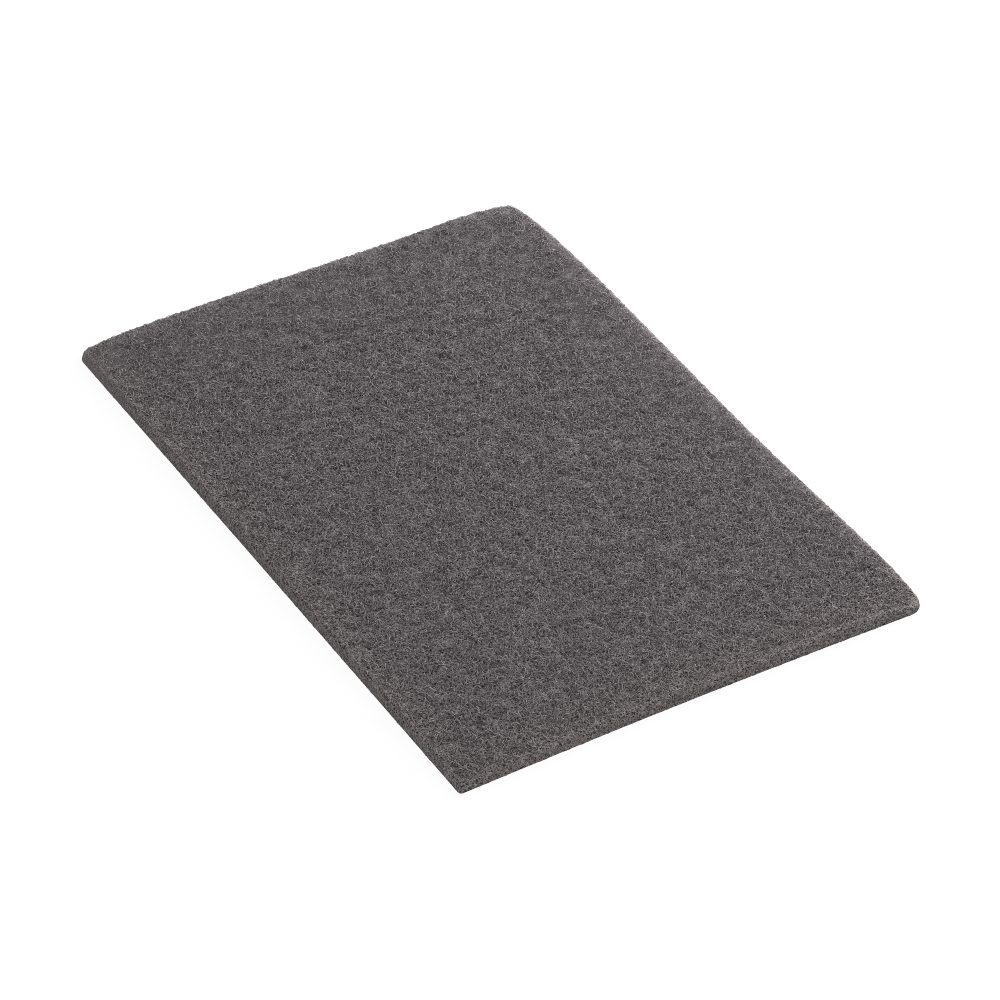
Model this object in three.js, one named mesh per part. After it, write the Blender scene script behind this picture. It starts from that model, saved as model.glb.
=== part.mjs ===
// Abrasive hand pad: a flat rectangular block of grey bonded non-woven fibre web, die-cut from a sheet.
// One soft solid. Millimetres, +Z up, lying flat on its lower face with the origin at the middle of that face.
// +X runs along the short side and +Y along the long side. The near edge is the short side at -Y.
import * as THREE from 'three';

// Overall size
const pad_length = 229;
const pad_width = 153;
const pad_thickness = 4.8;

// Corner radii in plan
const near_left_radius = 1.2;
const near_right_radius = 5;
const far_right_radius = 4;
const far_left_radius = 4;

// How far each cut edge strays from a straight line, outward positive: one half wave, two and three
const near_edge_bow = -0.95;
const right_edge_bow = 0.3;
const right_edge_sway = -0.7;
const right_edge_ripple = 0.4;
const far_edge_bow = -0.25;
const far_edge_sway = -0.35;
const left_edge_bow = -0.1;

// Section of the cut edge: a small round at the foot, a leaning wall and a rolled rim at the top
const foot_radius = 0.5;
const wall_lean = 0.3;
const rim_radius = 1.6;

// The die squeezes the web at the corners, and the reach is measured from each corner
const corner_pinch = 1.8;
const pinch_reach = 10;

// The lofty web is not quite even: its upper face rises and falls over broad swells
const swell_depth = 0.25;
const swell_span_x = 64;
const swell_span_y = 83;

// Fineness of the surface
const facet_length = 8;
const corner_steps = 8;
const foot_steps = 3;
const rim_steps = 5;
const face_steps = 8;

const web_grey = 0x5f5a5c;
const web_roughness = 0.95;

// Sharpest corner left on a line that runs inside the cut edge
const least_radius = 0.25;

const corners = [
  { side_x: -1, side_y: -1, radius: near_left_radius },
  { side_x: 1, side_y: -1, radius: near_right_radius },
  { side_x: 1, side_y: 1, radius: far_right_radius },
  { side_x: -1, side_y: 1, radius: far_left_radius },
];

// The edge that follows each corner, going round counter-clockwise
const edges = [
  { length: pad_width, waves: [near_edge_bow] },
  { length: pad_length, waves: [right_edge_bow, right_edge_sway, right_edge_ripple] },
  { length: pad_width, waves: [far_edge_bow, far_edge_sway] },
  { length: pad_length, waves: [left_edge_bow] },
];

// Centre and radius of one rounded corner on a line that runs the given distance inside the cut edge
function corner_at(index, inset) {
  const { side_x, side_y, radius } = corners[index % corners.length];
  const inner_radius = Math.max(radius - inset, least_radius);
  return {
    radius: inner_radius,
    centre: new THREE.Vector2(
      side_x * (pad_width / 2 - inset - inner_radius),
      side_y * (pad_length / 2 - inset - inner_radius),
    ),
  };
}

// Closed outline in plan, counter-clockwise from the near left corner, before it is centred
function raw_outline(inset) {
  const points = [];
  corners.forEach((_, index) => {
    const corner = corner_at(index, inset);
    const next = corner_at(index + 1, inset);
    const outward = new THREE.Vector2(0, -1).rotateAround(new THREE.Vector2(), index * Math.PI / 2);
    for (let step = 0; step <= corner_steps; step += 1) {
      const turn = (index + 2 + step / corner_steps) * Math.PI / 2;
      const rim = new THREE.Vector2(Math.cos(turn), Math.sin(turn));
      points.push(rim.multiplyScalar(corner.radius).add(corner.centre));
    }
    const start = outward.clone().multiplyScalar(corner.radius).add(corner.centre);
    const end = outward.clone().multiplyScalar(next.radius).add(next.centre);
    const { length, waves } = edges[index];
    const edge_steps = Math.ceil(length / facet_length);
    for (let step = 1; step < edge_steps; step += 1) {
      const along = step / edge_steps;
      const stray = waves.reduce((sum, size, wave) => sum + size * Math.sin((wave + 1) * Math.PI * along), 0);
      points.push(start.clone().lerp(end, along).addScaledVector(outward, stray));
    }
  });
  return points;
}

const middle = new THREE.Box2().setFromPoints(raw_outline(0)).getCenter(new THREE.Vector2());

function outline(inset) {
  return raw_outline(inset).map((point) => point.sub(middle));
}

const cut_corners = corners.map(({ side_x, side_y }) => (
  new THREE.Vector2(side_x * pad_width / 2, side_y * pad_length / 2).sub(middle)
));

// Height of the upper face above a point of the plan
function top_height(point) {
  const wave_x = Math.sin(2 * Math.PI * point.x / swell_span_x);
  const wave_y = Math.cos(2 * Math.PI * point.y / swell_span_y);
  const hollow = swell_depth * (1 - wave_x * wave_y) / 2;
  const pinch = cut_corners.reduce((sum, corner) => (
    sum + corner_pinch * Math.exp(-((point.distanceTo(corner) / pinch_reach) ** 2))
  ), 0);
  return pad_thickness - hollow - pinch;
}

// Rings of points from the foot up the wall, over the rim and in across the upper face
function pad_rings() {
  const rings = [];
  for (let step = 0; step <= foot_steps; step += 1) {
    const turn = step / foot_steps * Math.PI / 2;
    const height = foot_radius * (1 - Math.cos(turn));
    const line = outline(foot_radius * (1 - Math.sin(turn)));
    rings.push(line.map((point) => new THREE.Vector3(point.x, point.y, height)));
  }
  for (let step = 0; step <= rim_steps; step += 1) {
    const turn = step / rim_steps * Math.PI / 2;
    const drop = rim_radius * (1 - Math.sin(turn));
    const line = outline(wall_lean + rim_radius * (1 - Math.cos(turn)));
    rings.push(line.map((point) => new THREE.Vector3(point.x, point.y, top_height(point) - drop)));
  }
  const face_edge = outline(wall_lean + rim_radius);
  for (let step = 1; step < face_steps; step += 1) {
    const reach = 1 - (step / face_steps) ** 1.8;
    const line = face_edge.map((point) => point.clone().multiplyScalar(reach));
    rings.push(line.map((point) => new THREE.Vector3(point.x, point.y, top_height(point))));
  }
  return rings;
}

// Closed skin: the lower face, a band of facets between each ring and the next, and a fan at the middle of the top
function pad_geometry() {
  const rings = pad_rings();
  const count = rings[0].length;
  const crown = new THREE.Vector3(0, 0, top_height(new THREE.Vector2()));
  const points = [...rings.flat(), crown];
  const facets = [];
  THREE.ShapeUtils.triangulateShape(rings[0], []).forEach(([a, b, c]) => facets.push(a, c, b));
  for (let ring = 0; ring < rings.length - 1; ring += 1) {
    for (let place = 0; place < count; place += 1) {
      const here = ring * count + place;
      const beside = ring * count + (place + 1) % count;
      facets.push(here, beside, beside + count);
      facets.push(here, beside + count, here + count);
    }
  }
  const last = (rings.length - 1) * count;
  for (let place = 0; place < count; place += 1) {
    facets.push(last + place, last + (place + 1) % count, points.length - 1);
  }
  const geometry = new THREE.BufferGeometry().setFromPoints(points);
  geometry.setIndex(facets);
  geometry.computeVertexNormals();
  return geometry;
}

const web = new THREE.MeshStandardMaterial({ color: web_grey, roughness: web_roughness, metalness: 0 });
const pad = new THREE.Mesh(pad_geometry(), web);
pad.name = 'fibre_pad';

const hand_pad = new THREE.Group();
hand_pad.add(pad);

export default hand_pad;
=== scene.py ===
"""Abrasive hand pad: a flat die-cut block of grey, curled, resin-bonded fibres on a white floor."""
import math

import bmesh
import bpy
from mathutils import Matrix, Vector


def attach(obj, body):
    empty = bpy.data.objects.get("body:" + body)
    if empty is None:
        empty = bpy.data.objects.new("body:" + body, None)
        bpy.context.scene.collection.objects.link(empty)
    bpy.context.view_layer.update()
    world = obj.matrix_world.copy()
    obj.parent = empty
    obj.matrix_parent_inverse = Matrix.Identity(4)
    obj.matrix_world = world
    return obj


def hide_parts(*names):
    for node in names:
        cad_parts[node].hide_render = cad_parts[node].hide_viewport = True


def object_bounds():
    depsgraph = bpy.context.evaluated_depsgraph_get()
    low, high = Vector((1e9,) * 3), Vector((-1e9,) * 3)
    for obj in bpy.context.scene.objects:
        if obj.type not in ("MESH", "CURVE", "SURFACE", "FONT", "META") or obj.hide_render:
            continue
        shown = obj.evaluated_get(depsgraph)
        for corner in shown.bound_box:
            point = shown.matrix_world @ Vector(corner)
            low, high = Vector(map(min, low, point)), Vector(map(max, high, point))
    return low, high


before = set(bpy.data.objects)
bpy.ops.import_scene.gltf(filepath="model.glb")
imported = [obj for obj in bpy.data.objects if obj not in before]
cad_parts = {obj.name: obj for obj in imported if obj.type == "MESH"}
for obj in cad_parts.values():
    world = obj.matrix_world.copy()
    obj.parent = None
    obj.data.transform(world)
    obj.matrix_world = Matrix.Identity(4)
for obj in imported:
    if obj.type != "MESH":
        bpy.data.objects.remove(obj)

cad_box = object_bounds()

MM = 0.001
FULL_TURN = 2 * math.pi
PAD_NODE = "fibre_pad"

# Camera, fitted to the pad's outline: angles in degrees, lengths in metres
PICTURE_PIXELS = 1000
FOCAL_PIXELS = 4800
SENSOR_WIDTH_MM = 36
CAMERA_AZIMUTH = -30.68
CAMERA_ELEVATION = 38.69
CAMERA_DISTANCE = 1.396
CAMERA_AIM = Vector((-0.00253, -0.01024, 0))
CAMERA_REACH = 20

# Floor and light: lengths in metres, power in watts
FLOOR_REACH = 3.0
FLOOR_PAINT = (0.82, 0.82, 0.82, 1)
FLOOR_GLOW = 1.06
FLOOR_GLOW_SHARE = 0.88
AMBIENT = 0.43
AMBIENT_LEAN = 0.15
BRIGHT_SIDE = (0.85, 0.53, 0)
LAMPS = {
    "right lamp": {"place": (0.52, 0.1, 0.34), "size": 0.5, "power": 2.9},
    "rim lamp": {"place": (0.5, 0.3, 0.12), "size": 0.22, "power": 1},
    "front lamp": {"place": (-0.4, -0.75, 0.95), "size": 0.9, "power": 3},
}

# Pad body: a sheet sunk under the strands, its near-black painted shade of the web's depths, seen
# between the strands
SLIVER_WIDTH = 0.05 * MM
BODY_SINK = 1.5 * MM
WALL_SINK = 0.05 * MM

# Loft: how freely the web stands up, 1 being fully. A facing is the upward part of a normal
WALL_LOFT = 0.06
RIM_LOFT = 0.35
RIM_REACH = 3.0 * MM
RIM_FACING = (0.1, 0.7)
WALL_FACING = 0.5

# Strands: curled fibres that weave up to the surface and down again. A spread is a random share
STRAND_SPACING = 2.75 * MM
SCATTER_CROWD = 4
UNDERSIDE_SHARE = 0.06
UNDERSIDE_FACING = (-0.9, -0.3)
STRAND_STEPS = 12
STEP_LENGTH = 0.5 * MM
TURN_PER_STEP = 0.6
WANDER_BY_STRAND = 7.31
WANDER_BY_STEP = 0.35
WANDER_BY_SEED = 3.7
WANDER_BEND = 4
WEAVE_HEIGHT = 1.6 * MM
WEAVE_LENGTH_SPREAD = (0.75, 1.35)
WEAVE_HEIGHT_SPREAD = (0.2, 0.42)
STRAND_SIDES = 3
STRAND_RADIUS = 0.115 * MM
BEAD_SPREAD = (0.7, 1.35)
WALL_GIRTH = 0.55
LIGHTNESS_SPREAD = (0.88, 1.12)
# How much darker the strands' troughs are painted: painted shade
TROUGH_PAINTED_SHADE = 0.1
TIP_WIDTH = 0.001 * MM
CELL_MARGIN = 0.1
CELL_SPAN = 0.8
SEEDS_PER_LAYER = 10
# Lightness rises a little from the deepest layer to the top one: painted shade of depth
STRAND_LAYERS = {
    "deep_strands": {"Crest": -0.2 * MM, "Weave Length": 2.0 * MM, "Lightness": 0.335},
    "low_strands": {"Crest": -0.12 * MM, "Weave Length": 2.0 * MM, "Lightness": 0.34},
    "middle_strands": {"Crest": -0.04 * MM, "Weave Length": 2.0 * MM, "Lightness": 0.345},
    "upper_strands": {"Crest": 0.04 * MM, "Weave Length": 4.4 * MM, "Lightness": 0.35},
    "top_strands": {"Crest": 0.12 * MM, "Weave Length": 4.4 * MM, "Lightness": 0.355},
}

# Far sides of the pad, from the frame, and how far in from each a band of painted light reaches
FAR_X = cad_box[1][0]
FAR_Y = cad_box[1][1]
LIT_BAND_X = 10 * MM
LIT_BAND_Y = 8 * MM

# Pressed web: more even toward the far sides, with less painted shade in its gaps there
PRESS_LEAN = 0.25
PRESS_SHIFT = 0.07
PRESS_START = 0.55

# Tints on the walls and on the upper face, and how much paler or browner each border is; the paler
# walls, rim and far borders are painted light
WALL_TINT = (1.0, 0.868, 0.862, 1)
FACE_TINT = (1.0, 0.897, 0.93, 1)
# Painted light: the walls are drawn paler than the upper face
WALL_PAINTED_LIGHT = 0.05
NEAR_START = 0.75
NEAR_BROWN = 0.5
NEAR_PALE = 0.09
# Painted light along the far right and far back borders, stronger at the right, where the light
# comes from
RIGHT_PAINTED_LIGHT = 0.42
BACK_PAINTED_LIGHT = 0.2
BACK_PAINTED_LIGHT_LEAN = 0.08
LIT_BAND_LOFT = (0.05, 0.35)
# Painted highlight along the rim where the upper face turns down, stronger toward the right
RIM_HIGHLIGHT = 0.02
RIM_HIGHLIGHT_LEAN = 0.1
RIM_LOFT_FROM = (0.1, 0.6)
RIM_LOFT_TO = (0.7, 1)
WALL_LOFT_TO = 0.3
RIGHT_WALL_START = 0.4
RIGHT_WALL_GREY = 0.7
RIGHT_WALL_DIM = 0.18

# Slow changes of grey over the whole web
MOTTLE_SIZE = 9 * MM
MOTTLE_DETAIL = 2
MOTTLE_LOW = 0.9
MOTTLE_SPAN = 0.2

# Resin coat of the strands, from its dull to its bright grains, and what pressing changes in it
GRIT_SIZE = 0.55 * MM
GRIT_RANGE = (0.3, 0.7)
GRIT_BUMP = 0.5
GRIT_DEPTH = 0.04 * MM
COAT_DULL = 0.7
COAT_SPAN = 0.6
PRESSED_DULL = 0.25
PRESSED_SPAN = 0.5
PRESSED_DIM = 0.06
STRAND_ROUGHNESS = 0.55
GRIT_ROUGHNESS = 0.3
STRAND_GLOSS = 0.35

# Buried strands: nets of threads at several depths; each net's share is its brightness, and the
# smaller shares of the deeper ones are painted shade
NETS = [
    {"spacing": 1.2 * MM, "shift": (0.03, 0.01, 0.02), "share": 1},
    {"spacing": 1.0 * MM, "shift": (0.07, 0.05, 0.09), "share": 0.65},
    {"spacing": 0.85 * MM, "shift": (0.02, 0.08, 0.05), "share": 0.4},
]
DRIFT_SCALE = 0.8
DRIFT_REACH = 1.6
THREAD_WIDTH = (0.02, 0.1)
THREAD_BUMP = 0.8
THREAD_DEPTH = 0.15 * MM
# The near-black of the gaps between the threads is painted shade of the web's depths
GAP_PAINTED_SHADE = 0.015
THREAD_TONE = 0.39
PRESSED_GAP = 0.135
PRESSED_THREAD = 0.23
DEEP_ROUGHNESS = 0.75
MOTTLE_ROUGHNESS = 0.15
DEEP_GLOSS = 0.25


class Value:
    """A node's output that arithmetic works on: each operation adds a Math node to its tree."""

    def __init__(self, tree, socket):
        self.tree = tree
        self.socket = socket

    def math(self, operation, *terms):
        sockets = dict(enumerate(terms))
        return self.tree.node("ShaderNodeMath", {"operation": operation}, sockets)["Value"]

    def __add__(self, other):
        return self.math("ADD", self, other)

    def __radd__(self, other):
        return self.math("ADD", other, self)

    def __sub__(self, other):
        return self.math("SUBTRACT", self, other)

    def __rsub__(self, other):
        return self.math("SUBTRACT", other, self)

    def __mul__(self, other):
        return self.math("MULTIPLY", self, other)

    def __rmul__(self, other):
        return self.math("MULTIPLY", other, self)

    def __truediv__(self, other):
        return self.math("DIVIDE", self, other)

    def __rtruediv__(self, other):
        return self.math("DIVIDE", other, self)

    def __pow__(self, other):
        return self.math("POWER", self, other)

    def __abs__(self):
        return self.math("ABSOLUTE", self)

    def at_least(self, other):
        return self.math("MAXIMUM", self, other)

    def at_most(self, other):
        return self.math("MINIMUM", self, other)


class Outputs:
    """The outputs of one node, found by name."""

    def __init__(self, tree, node):
        self.tree = tree
        self.node = node

    def __getitem__(self, name):
        return Value(self.tree, Tree.find(self.node.outputs, name))


class Tree:
    """A node tree, built by expressions and by one method that adds any node."""

    def __init__(self, nodes):
        self.nodes = nodes.nodes
        self.links = nodes.links

    @staticmethod
    def find(sockets, key):
        if isinstance(key, int):
            return sockets[key]
        return next(socket for socket in sockets if socket.enabled and socket.name == key)

    def feed(self, socket, value):
        if isinstance(value, Value):
            self.links.new(value.socket, socket)
        else:
            socket.default_value = value

    def node(self, kind, settings=None, sockets=None):
        made = self.nodes.new(kind)
        for name, value in (settings or {}).items():
            setattr(made, name, value)
        for key, value in (sockets or {}).items():
            self.feed(self.find(made.inputs, key), value)
        return Outputs(self, made)

    def vector(self, operation, *terms, **named):
        sockets = {**dict(enumerate(terms)), **named}
        result = "Value" if operation == "DOT_PRODUCT" else "Vector"
        return self.node("ShaderNodeVectorMath", {"operation": operation}, sockets)[result]

    def scaled(self, vector, factor):
        return self.vector("SCALE", vector, Scale=factor)

    def combine(self, x, y, z=0.0):
        return self.node("ShaderNodeCombineXYZ", {}, {"X": x, "Y": y, "Z": z})["Vector"]

    def split(self, vector):
        return self.node("ShaderNodeSeparateXYZ", {}, {"Vector": vector})

    def noise(self, vector, spacing, detail):
        sockets = {"Vector": vector, "Scale": 1 / spacing, "Detail": detail}
        return self.node("ShaderNodeTexNoise", {}, sockets)

    def ease(self, value, low, high):
        """0 below low, 1 above high, and a smooth rise between."""
        settings = {"interpolation_type": "SMOOTHSTEP"}
        sockets = {"Value": value, "From Min": low, "From Max": high}
        return self.node("ShaderNodeMapRange", settings, sockets)["Result"]


class GeometryTree(Tree):
    """A Geometry Nodes tree with named inputs, which run() evaluates on a mesh."""

    def __init__(self, name, inputs):
        self.group = bpy.data.node_groups.new(name, "GeometryNodeTree")
        super().__init__(self.group)
        face = self.group.interface
        face.new_socket("Surface", in_out="INPUT", socket_type="NodeSocketGeometry")
        for label, kind in inputs.items():
            face.new_socket(label, in_out="INPUT", socket_type=kind)
        face.new_socket("Result", in_out="OUTPUT", socket_type="NodeSocketGeometry")
        self.given = self.node("NodeGroupInput")

    def finish(self, geometry):
        smooth = self.node("GeometryNodeSetShadeSmooth", {}, {"Geometry": geometry})["Geometry"]
        whole = self.node("GeometryNodeRealizeInstances", {}, {"Geometry": smooth})["Geometry"]
        sockets = {"Geometry": whole, "Material": self.given["Material"]}
        dressed = self.node("GeometryNodeSetMaterial", {}, sockets)["Geometry"]
        self.node("NodeGroupOutput", {}, {"Result": dressed})

    def named(self, name, kind):
        settings = {"data_type": kind}
        return self.node("GeometryNodeInputNamedAttribute", settings, {"Name": name})["Attribute"]

    def store(self, geometry, name, kind, value, domain="POINT"):
        settings = {"data_type": kind, "domain": domain}
        sockets = {"Geometry": geometry, "Name": name, "Value": value}
        return self.node("GeometryNodeStoreNamedAttribute", settings, sockets)["Geometry"]

    def position(self):
        return self.node("GeometryNodeInputPosition")["Position"]

    def normal(self):
        return self.node("GeometryNodeInputNormal")["Normal"]

    def index(self):
        return self.node("GeometryNodeInputIndex")["Index"]

    def at_nearest(self, mesh, value, place):
        settings = {"data_type": "FLOAT_VECTOR"}
        sockets = {"Mesh": mesh, "Value": value, "Sample Position": place}
        return self.node("GeometryNodeSampleNearestSurface", settings, sockets)["Value"]

    def turned(self, vector, axis, angle):
        settings = {"rotation_type": "AXIS_ANGLE"}
        sockets = {"Vector": vector, "Axis": axis, "Angle": angle}
        return self.node("ShaderNodeVectorRotate", settings, sockets)["Vector"]

    def random(self, low, high, item, seed):
        sockets = {"Min": low, "Max": high, "ID": item, "Seed": seed}
        return self.node("FunctionNodeRandomValue", {"data_type": "FLOAT"}, sockets)["Value"]

    def run(self, base, name, values):
        """The tree's result on a copy of base, as a plain mesh object of that name."""
        piece = bpy.data.objects.new(name, base.copy())
        bpy.context.scene.collection.objects.link(piece)
        modifier = piece.modifiers.new("build", "NODES")
        modifier.node_group = self.group
        for socket in self.group.interface.items_tree:
            if socket.in_out == "INPUT" and socket.name in values:
                modifier[socket.identifier] = values[socket.name]
        return flatten(piece)


def flatten(piece):
    """Turns a piece and its modifiers into a plain mesh."""
    graph = bpy.context.evaluated_depsgraph_get()
    mesh = bpy.data.meshes.new_from_object(piece.evaluated_get(graph), depsgraph=graph)
    piece.modifiers.clear()
    piece.data = mesh
    mesh.name = piece.name
    return piece


# Shapes

def pad_surface():
    """The outer skin of the pad's solid, with its facets joined up and its slivers closed."""
    skin = bpy.data.meshes.new("pad surface")
    build = bmesh.new()
    build.from_mesh(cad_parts[PAD_NODE].data)
    bmesh.ops.remove_doubles(build, verts=build.verts, dist=SLIVER_WIDTH)
    for face in build.faces:
        face.smooth = True
    build.to_mesh(skin)
    build.free()
    return skin


def loft_over(tree, surface, normal):
    """How freely the web stands up: fully on the upper face, less on the rim, least on the walls."""
    upward = tree.split(normal)["Z"]
    facing = tree.split(tree.normal())["Z"]
    steep = tree.node("GeometryNodeSeparateGeometry", {"domain": "FACE"}, {
        "Geometry": surface,
        "Selection": facing.math("LESS_THAN", abs(facing), WALL_FACING),
    })["Selection"]
    away = tree.node("GeometryNodeProximity", {"target_element": "FACES"}, {
        "Geometry": steep,
    })["Distance"]
    rim = tree.ease(upward, *RIM_FACING)
    inward = (1 - RIM_LOFT) * tree.ease(away, 0, RIM_REACH)
    return WALL_LOFT + rim * (RIM_LOFT - WALL_LOFT + inward)


def body_tree():
    """A sheet sunk under the strands, dark with painted shade of the web's depths: the pad's skin,
    sunk between its walls.
    """
    tree = GeometryTree("deep web", {
        "Sink": "NodeSocketFloat",
        "Wall Sink": "NodeSocketFloat",
        "Material": "NodeSocketMaterial",
    })
    normal = tree.normal()
    surface = tree.given["Surface"]
    loft = loft_over(tree, surface, normal)
    marked = tree.store(surface, "open", "FLOAT", loft)
    depth = 0 - tree.given["Wall Sink"] - tree.given["Sink"] * loft * loft
    tree.finish(tree.node("GeometryNodeSetPosition", {}, {
        "Geometry": marked,
        "Offset": tree.scaled(normal, depth),
    })["Geometry"])
    return tree


def strand_tree():
    """Strands that start at random points of a surface and creep along it, turning and weaving."""
    tree = GeometryTree("strand web", {
        "Spacing": "NodeSocketFloat",
        "Underside Share": "NodeSocketFloat",
        "Steps": "NodeSocketInt",
        "Step Length": "NodeSocketFloat",
        "Turn per Step": "NodeSocketFloat",
        "Weave Length": "NodeSocketFloat",
        "Weave Height": "NodeSocketFloat",
        "Radius": "NodeSocketFloat",
        "Crest": "NodeSocketFloat",
        "Lightness": "NodeSocketFloat",
        "Seed": "NodeSocketInt",
        "Material": "NodeSocketMaterial",
    })
    given = tree.given
    seed = given["Seed"]
    normal = tree.normal()
    skin = tree.store(given["Surface"], "lie", "FLOAT_VECTOR", normal)

    share = tree.node("ShaderNodeMix", {"data_type": "FLOAT"}, {
        "Factor": tree.ease(tree.split(normal)["Z"], *UNDERSIDE_FACING),
        "A": given["Underside Share"],
        "B": 1.0,
    })["Result"]
    scatter = tree.node("GeometryNodeDistributePointsOnFaces", {"distribute_method": "POISSON"}, {
        "Mesh": skin,
        "Distance Min": given["Spacing"],
        "Density Max": SCATTER_CROWD / (given["Spacing"] * given["Spacing"]),
        "Density Factor": share,
        "Seed": seed,
    })
    number = tree.index()
    across = tree.node("FunctionNodeRotateVector", {}, {
        "Vector": (1, 0, 0),
        "Rotation": scatter["Rotation"],
    })["Vector"]
    start = tree.turned(across, scatter["Normal"], tree.random(0, FULL_TURN, number, seed + 1))
    tips = tree.store(scatter["Points"], "strand", "INT", number)
    tips = tree.store(tips, "heading", "FLOAT_VECTOR", start)
    tips = tree.store(tips, "lie", "FLOAT_VECTOR", scatter["Normal"])
    tips = tree.store(tips, "place", "INT", 0)

    # Each pass moves every tip one step along the skin and leaves a copy of it behind
    entry = tree.node("GeometryNodeRepeatInput", {}, {"Iterations": given["Steps"]})
    leave = tree.node("GeometryNodeRepeatOutput")
    entry.node.pair_with_output(leave.node)
    leave.node.repeat_items.new("GEOMETRY", "Trail")
    tree.feed(Tree.find(entry.node.inputs, "Geometry"), tips)
    tree.feed(Tree.find(entry.node.inputs, "Trail"), tips)

    strand = tree.named("strand", "INT")
    stage = entry["Iteration"] + 1
    spot = tree.combine(strand * WANDER_BY_STRAND, stage * WANDER_BY_STEP, seed * WANDER_BY_SEED)
    wander = tree.noise(spot, 1.0, 1.0)["Fac"]
    bend = tree.random(-1, 1, strand, seed + 2) + (wander - 0.5) * WANDER_BEND
    lie = tree.named("lie", "FLOAT_VECTOR")
    heading = tree.named("heading", "FLOAT_VECTOR")
    turned = tree.turned(heading, lie, bend * given["Turn per Step"])
    off_skin = tree.scaled(lie, tree.vector("DOT_PRODUCT", turned, lie))
    level = tree.vector("NORMALIZE", tree.vector("SUBTRACT", turned, off_skin))
    moving = tree.store(entry["Geometry"], "heading", "FLOAT_VECTOR", level)
    ahead = tree.vector("ADD", tree.position(), tree.scaled(heading, given["Step Length"]))
    moving = tree.node("GeometryNodeSetPosition", {}, {
        "Geometry": moving,
        "Position": tree.at_nearest(skin, tree.position(), ahead),
    })["Geometry"]
    skin_lie = tree.at_nearest(skin, lie, tree.position())
    moving = tree.store(moving, "lie", "FLOAT_VECTOR", skin_lie)
    moving = tree.store(moving, "place", "INT", stage)
    trail = tree.node("GeometryNodeJoinGeometry", {}, {"Geometry": entry["Trail"]})
    tree.feed(trail.node.inputs["Geometry"], moving)
    tree.feed(Tree.find(leave.node.inputs, "Geometry"), moving)
    tree.feed(Tree.find(leave.node.inputs, "Trail"), trail["Geometry"])

    # The trail is lifted off the skin in a wave, and painted shade makes it darker in its troughs
    # than on its crests
    place = tree.named("place", "INT")
    weave = given["Weave Length"] * tree.random(*WEAVE_LENGTH_SPREAD, strand, seed + 6)
    angle = place * given["Step Length"] / weave * FULL_TURN
    wave = angle.math("SINE", angle + tree.random(0, FULL_TURN, strand, seed + 3))
    rise = given["Weave Height"] * tree.random(*WEAVE_HEIGHT_SPREAD, strand, seed + 4)
    loft = loft_over(tree, skin, lie)
    height = (given["Crest"] + rise * (wave - 1)) * loft
    raised = tree.split(tree.vector("ADD", tree.position(), tree.scaled(lie, height)))
    shade = given["Lightness"] * tree.random(*LIGHTNESS_SPREAD, strand, seed + 5)
    # Painted shade: darker in the troughs, where the strand dips into the web
    shade = shade * (1 - TROUGH_PAINTED_SHADE + TROUGH_PAINTED_SHADE * wave)
    bead = tree.random(*BEAD_SPREAD, tree.index(), seed + 7)
    girth = bead * (WALL_GIRTH + (1 - WALL_GIRTH) * loft)
    lifted = tree.store(leave["Trail"], "shade", "FLOAT", shade)
    lifted = tree.store(lifted, "girth", "FLOAT", girth)
    lifted = tree.store(lifted, "open", "FLOAT", loft)
    above_floor = raised["Z"].at_least(given["Radius"])
    lifted = tree.node("GeometryNodeSetPosition", {}, {
        "Geometry": lifted,
        "Position": tree.combine(raised["X"], raised["Y"], above_floor),
    })["Geometry"]
    strands = tree.node("GeometryNodePointsToCurves", {}, {
        "Points": lifted,
        "Curve Group ID": strand,
        "Weight": place,
    })["Curves"]

    # A tube along each strand, drawn to a point at both ends
    ring = tree.node("GeometryNodeCurvePrimitiveCircle", {"mode": "RADIUS"}, {
        "Resolution": STRAND_SIDES,
        "Radius": given["Radius"],
    })["Curve"]
    turn = tree.node("GeometryNodeSplineParameter")["Factor"]
    ring = tree.store(ring, "around", "FLOAT", turn)
    to_end = place.at_most(given["Steps"] - place)
    tubes = tree.node("GeometryNodeCurveToMesh", {}, {
        "Curve": strands,
        "Profile Curve": ring,
        "Scale": tree.named("girth", "FLOAT") * to_end.at_most(1),
    })["Mesh"]
    closed = tree.node("GeometryNodeMergeByDistance", {}, {
        "Geometry": tubes,
        "Distance": TIP_WIDTH,
    })["Geometry"]

    # One small cell of the map for each strand
    count = tree.node("GeometryNodeAttributeDomainSize", {"component": "POINTCLOUD"}, {
        "Geometry": scatter["Points"],
    })["Point Count"]
    columns = count.math("CEIL", count ** 0.5)
    row = strand.math("FLOOR", strand / columns)
    column = strand - row * columns
    cell_u = (column + CELL_MARGIN + CELL_SPAN * tree.named("around", "FLOAT")) / columns
    cell_v = (row + CELL_MARGIN + CELL_SPAN * place / given["Steps"]) / columns
    tree.finish(tree.store(closed, "OFBake", "FLOAT2", tree.combine(cell_u, cell_v), "CORNER"))
    return tree


# Materials

def new_material(name):
    made = bpy.data.materials.new(name)
    made.use_nodes = True
    made.node_tree.nodes.clear()
    return made, Tree(made.node_tree)


def matte_skin(tree, colour, roughness, gloss, relief):
    """Ends a material's tree in one matte surface, with its relief as a bump."""
    bump = tree.node("ShaderNodeBump", {}, relief)["Normal"]
    skin = tree.node("ShaderNodeBsdfPrincipled", {}, {
        "Base Color": colour,
        "Roughness": roughness,
        "Specular IOR Level": gloss,
        "Normal": bump,
    })["BSDF"]
    tree.node("ShaderNodeOutputMaterial", {}, {"Surface": skin})


def pressed(tree, where):
    """How flat the web was pressed: 0 over most of the pad, 1 at its far sides."""
    along = tree.split(where)
    back = along["Y"] / FAR_Y
    right = along["X"] / FAR_X + PRESS_LEAN * back - PRESS_SHIFT
    return tree.ease(right.at_least(back), PRESS_START, 1)


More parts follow.
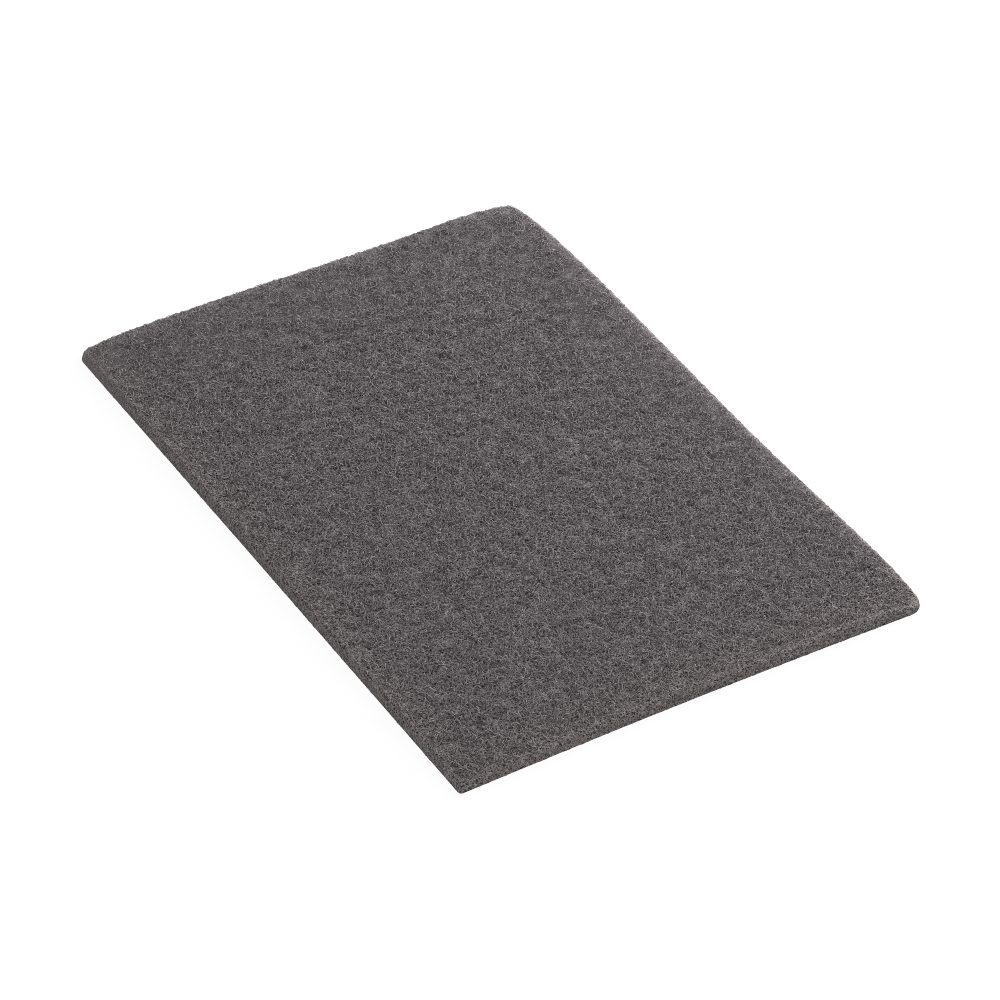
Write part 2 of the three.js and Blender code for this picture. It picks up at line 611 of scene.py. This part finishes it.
def tinted(tree, tone, where, loft):
    """The web's grey at a given tone: browner toward the near cut edges, palest at the far ones,
    where painted light lifts it, as it does on the rim and walls.
    """
    along = tree.split(where)
    near = along["X"] / -FAR_X
    warm = tree.ease(near.at_least(along["Y"] / -FAR_Y), NEAR_START, 1)
    wall = 1 - tree.ease(loft, WALL_LOFT, WALL_LOFT_TO)
    right_wall = wall * tree.ease(along["X"], RIGHT_WALL_START * FAR_X, FAR_X)
    tint = tree.node("ShaderNodeMix", {"data_type": "RGBA"}, {
        "Factor": loft * (1 - NEAR_BROWN * warm) + RIGHT_WALL_GREY * right_wall,
        "A": WALL_TINT,
        "B": FACE_TINT,
    })["Result"]
    # A painted highlight on the rim band
    rim = tree.ease(loft, *RIM_LOFT_FROM) * (1 - tree.ease(loft, *RIM_LOFT_TO))
    rim_highlight = rim * (RIM_HIGHLIGHT + RIM_HIGHLIGHT_LEAN / FAR_X * along["X"])
    # Painted light along the far right and far back borders
    right = RIGHT_PAINTED_LIGHT * tree.ease(along["X"], FAR_X - LIT_BAND_X, FAR_X)
    back_light = BACK_PAINTED_LIGHT - BACK_PAINTED_LIGHT_LEAN / FAR_X * along["X"]
    back = back_light * tree.ease(along["Y"], FAR_Y - LIT_BAND_Y, FAR_Y)
    far_light = right.at_least(back) * tree.ease(loft, *LIT_BAND_LOFT)
    pale = 1 + NEAR_PALE * warm + far_light + rim_highlight - RIGHT_WALL_DIM * right_wall
    # The walls' extra paleness is painted light
    return tree.scaled(tint, tone * (1 + WALL_PAINTED_LIGHT - WALL_PAINTED_LIGHT * loft) * pale)


def coated_strand():
    """Resin-coated fibre, matte and gritty, its grey changing from strand to strand."""
    made, tree = new_material("coated strand")
    where = tree.node("ShaderNodeTexCoord")["Object"]
    # The shade attribute holds each strand's grey, darkened by painted shade in its troughs
    shade = tree.node("ShaderNodeAttribute", {"attribute_name": "shade"})["Fac"]
    loft = tree.node("ShaderNodeAttribute", {"attribute_name": "open"})["Fac"]
    mottle = tree.noise(where, MOTTLE_SIZE, MOTTLE_DETAIL)["Fac"]
    grit = tree.noise(where, GRIT_SIZE, 0)["Fac"]
    press = pressed(tree, where)
    grain = (COAT_SPAN - PRESSED_SPAN * press) * tree.ease(grit, *GRIT_RANGE)
    coat = COAT_DULL + PRESSED_DULL * press + grain
    tone = shade * (MOTTLE_LOW + MOTTLE_SPAN * mottle) * coat * (1 - PRESSED_DIM * press)
    colour = tinted(tree, tone, where, loft)
    roughness = STRAND_ROUGHNESS + GRIT_ROUGHNESS * grit
    relief = {"Height": grit, "Strength": GRIT_BUMP, "Distance": GRIT_DEPTH}
    matte_skin(tree, colour, roughness, STRAND_GLOSS, relief)
    return made


def net(tree, where, spacing, shift, share):
    """A net of thin threads, bent about: its share on a thread and 0 in the gaps."""
    drift = tree.noise(where, spacing / DRIFT_SCALE, 1.0)["Color"]
    moved = tree.vector("ADD", where, tree.scaled(drift, DRIFT_REACH * spacing))
    edge = tree.node("ShaderNodeTexVoronoi", {"feature": "DISTANCE_TO_EDGE"}, {
        "Vector": tree.vector("ADD", moved, shift),
        "Scale": 1 / spacing,
    })["Distance"]
    return (1 - tree.ease(edge, *THREAD_WIDTH)) * share


def deep_web():
    """A dark ground of painted shade for the web's depths, with buried strands crossing it at
    several depths.
    """
    made, tree = new_material("deep web")
    where = tree.node("ShaderNodeTexCoord")["Object"]
    loft = tree.node("ShaderNodeAttribute", {"attribute_name": "open"})["Fac"]
    web, *deeper_nets = [net(tree, where, **sizes) for sizes in NETS]
    for deeper in deeper_nets:
        web = web.at_least(deeper)
    mottle = tree.noise(where, MOTTLE_SIZE, MOTTLE_DETAIL)["Fac"]
    press = pressed(tree, where)
    threads = (THREAD_TONE - PRESSED_THREAD * press) * web
    # The gaps' near-black is painted shade, lifted toward the far sides
    tone = (GAP_PAINTED_SHADE + PRESSED_GAP * press + threads) * (MOTTLE_LOW + MOTTLE_SPAN * mottle)
    colour = tinted(tree, tone, where, loft)
    roughness = DEEP_ROUGHNESS + MOTTLE_ROUGHNESS * mottle
    relief = {"Height": web, "Strength": THREAD_BUMP, "Distance": THREAD_DEPTH}
    matte_skin(tree, colour, roughness, DEEP_GLOSS, relief)
    return made


# Stage

def seen_directly(tree):
    """1 where the camera, a reflection or glass looks at a surface, and 0 for its light."""
    path = tree.node("ShaderNodeLightPath")
    direct = path["Is Camera Ray"].at_least(path["Is Glossy Ray"])
    return direct.at_least(path["Is Transmission Ray"])


def white_floor():
    """A white floor that reads as plain white to the camera and keeps a soft shadow."""
    made, tree = new_material("white floor")
    paint = tree.node("ShaderNodeBsdfDiffuse", {}, {"Color": FLOOR_PAINT})["BSDF"]
    glow = tree.node("ShaderNodeEmission", {}, {
        "Color": (1, 1, 1, 1),
        "Strength": FLOOR_GLOW,
    })["Emission"]
    both = tree.node("ShaderNodeMixShader", {}, {
        0: seen_directly(tree) * FLOOR_GLOW_SHARE,
        1: paint,
        2: glow,
    })["Shader"]
    tree.node("ShaderNodeOutputMaterial", {}, {"Surface": both})
    mesh = bpy.data.meshes.new("floor")
    corners = [(-1, -1), (1, -1), (1, 1), (-1, 1)]
    mesh.from_pydata([(x * FLOOR_REACH, y * FLOOR_REACH, 0) for x, y in corners], [], [(0, 1, 2, 3)])
    mesh.materials.append(made)
    floor = bpy.data.objects.new("floor", mesh)
    bpy.context.scene.collection.objects.link(floor)


def studio_light():
    """Light from all round, strongest from the far right, and three soft lamps, one of them low."""
    world = bpy.data.worlds.new("studio")
    bpy.context.scene.world = world
    world.use_nodes = True
    world.node_tree.nodes.clear()
    tree = Tree(world.node_tree)
    toward = tree.node("ShaderNodeTexCoord")["Generated"]
    ambient = AMBIENT + AMBIENT_LEAN * tree.vector("DOT_PRODUCT", toward, BRIGHT_SIDE)
    sky = tree.node("ShaderNodeBackground", {}, {
        "Strength": ambient + (1 - ambient) * seen_directly(tree),
    })["Background"]
    tree.node("ShaderNodeOutputWorld", {}, {"Surface": sky})
    for name, lamp in LAMPS.items():
        soft_lamp(name, **lamp)


def soft_lamp(name, place, size, power):
    """A square lamp that faces the pad."""
    lamp = bpy.data.lights.new(name, "AREA")
    lamp.shape = "SQUARE"
    lamp.size = size
    lamp.energy = power
    holder = bpy.data.objects.new(name, lamp)
    holder.location = place
    holder.rotation_euler = (-holder.location).to_track_quat("-Z", "Y").to_euler()
    bpy.context.scene.collection.objects.link(holder)


def photo_camera():
    """The camera that the pad's outline was fitted with."""
    camera = bpy.data.cameras.new("camera")
    camera.sensor_width = SENSOR_WIDTH_MM
    camera.lens = SENSOR_WIDTH_MM * FOCAL_PIXELS / PICTURE_PIXELS
    camera.clip_end = CAMERA_REACH
    holder = bpy.data.objects.new("camera", camera)
    azimuth = math.radians(CAMERA_AZIMUTH)
    elevation = math.radians(CAMERA_ELEVATION)
    back = Vector((
        math.sin(azimuth) * math.cos(elevation),
        -math.cos(azimuth) * math.cos(elevation),
        math.sin(elevation),
    ))
    holder.location = CAMERA_AIM + back * CAMERA_DISTANCE
    holder.rotation_mode = "QUATERNION"
    holder.rotation_quaternion = (-back).to_track_quat("-Z", "Y")
    bpy.context.scene.collection.objects.link(holder)
    bpy.context.scene.camera = holder


def main():
    scene = bpy.context.scene
    scene.view_settings.view_transform = "Standard"

    # The fine web is drawn as sharp as it is: nothing smoothed over, and a narrow blend of pixels
    scene.cycles.use_denoising = False
    scene.cycles.filter_width = 1.0
    photo_camera()
    studio_light()
    white_floor()

    skin = pad_surface()
    body = body_tree().run(skin, "pad_body", {
        "Sink": BODY_SINK,
        "Wall Sink": WALL_SINK,
        "Material": deep_web(),
    })
    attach(body, "root")
    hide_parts(PAD_NODE)

    grow = strand_tree()
    coat = coated_strand()
    for turn, (name, sizes) in enumerate(STRAND_LAYERS.items()):
        layer = grow.run(skin, name, {
            **sizes,
            "Spacing": STRAND_SPACING,
            "Radius": STRAND_RADIUS,
            "Underside Share": UNDERSIDE_SHARE,
            "Steps": STRAND_STEPS,
            "Step Length": STEP_LENGTH,
            "Turn per Step": TURN_PER_STEP,
            "Weave Height": WEAVE_HEIGHT,
            "Seed": SEEDS_PER_LAYER * turn + 1,
            "Material": coat,
        })
        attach(layer, "root")


main()
